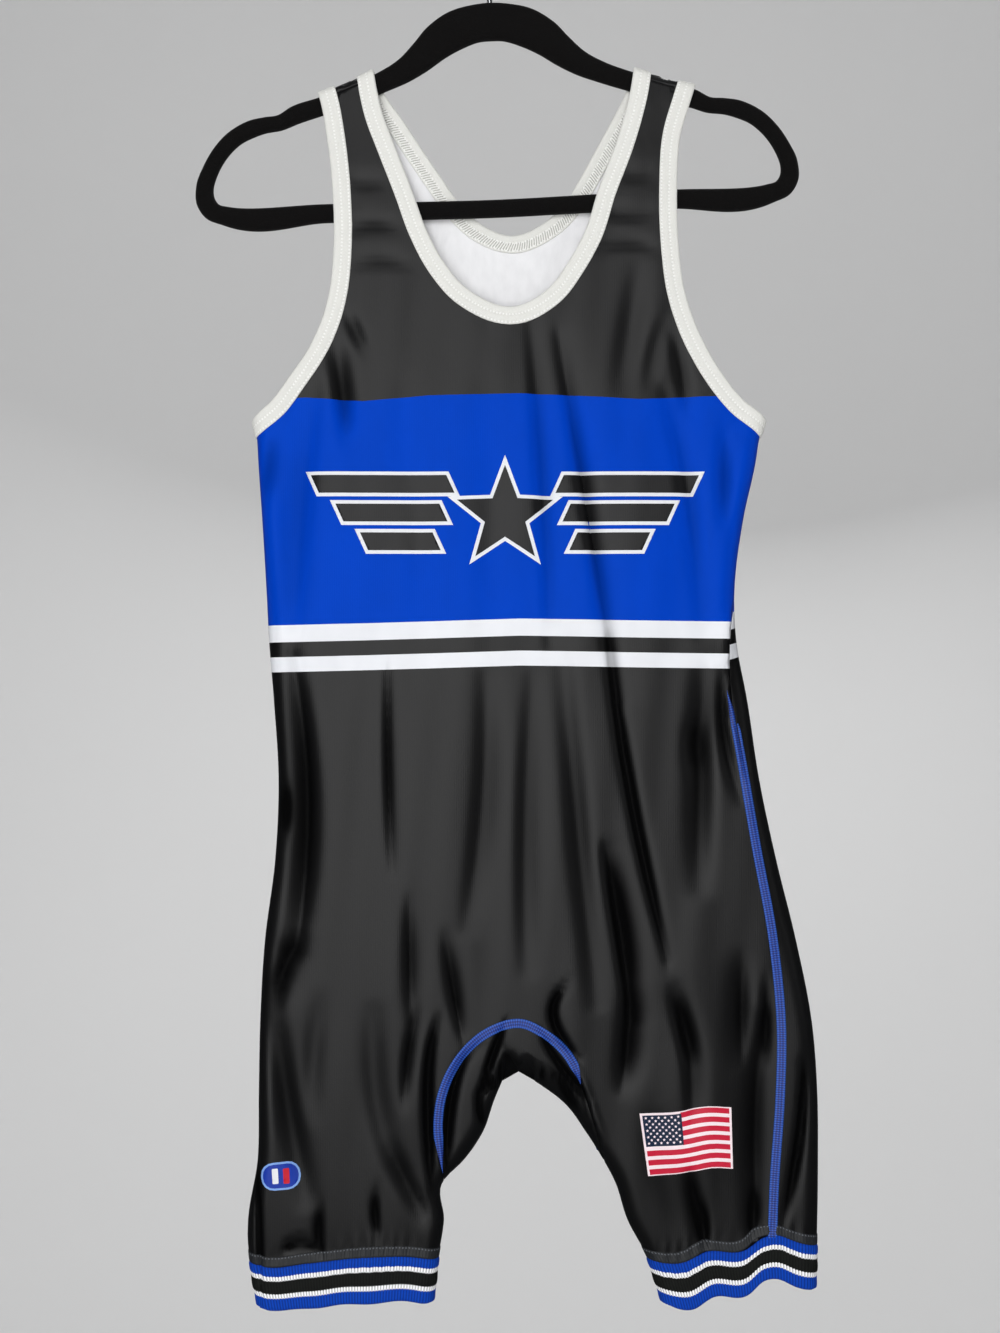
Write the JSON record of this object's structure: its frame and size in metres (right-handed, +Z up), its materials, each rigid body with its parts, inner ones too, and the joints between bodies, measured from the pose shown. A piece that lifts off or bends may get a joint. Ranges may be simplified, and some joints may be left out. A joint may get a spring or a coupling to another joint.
{
  "type": "wrestling singlet on a clothes hanger",
  "caption": "Sleeveless wrestling singlet with bound neck and armholes, side seams, a crotch gusset and rib cuffs, hung over a slim flocked hanger with a wire hook.",
  "frame": {"origin": "the inside of the hook's crown, where the rail carries the hanger", "axes": "+X towards the viewer's right as the front is seen, +Z up, the garment's front faces -Y"},
  "size_m": [0.4583, 0.0254, 1.0314],
  "materials": {
    "printed_knit_front": "smooth stretch knit, printed in black, blue and white bands",
    "printed_knit_back": "smooth stretch knit, printed in black, blue and white bands",
    "gusset_knit": "smooth stretch knit",
    "binding_knit": "matt folded knit",
    "cuff_rib": "rib knit in blue, white and black rings",
    "flocked_plastic": "flocked",
    "steel_wire": "plated, polished"
  },
  "bodies": {
    "root": {"front_panel": "printed_knit_front", "back_panel": "printed_knit_back", "gusset": "gusset_knit", "neck_binding": "binding_knit", "armhole_binding_left": "binding_knit", "armhole_binding_right": "binding_knit", "cuff_left": "cuff_rib", "cuff_right": "cuff_rib", "hanger_body": "flocked_plastic", "hanger_hook": "steel_wire"}
  },
  "joints": []
}
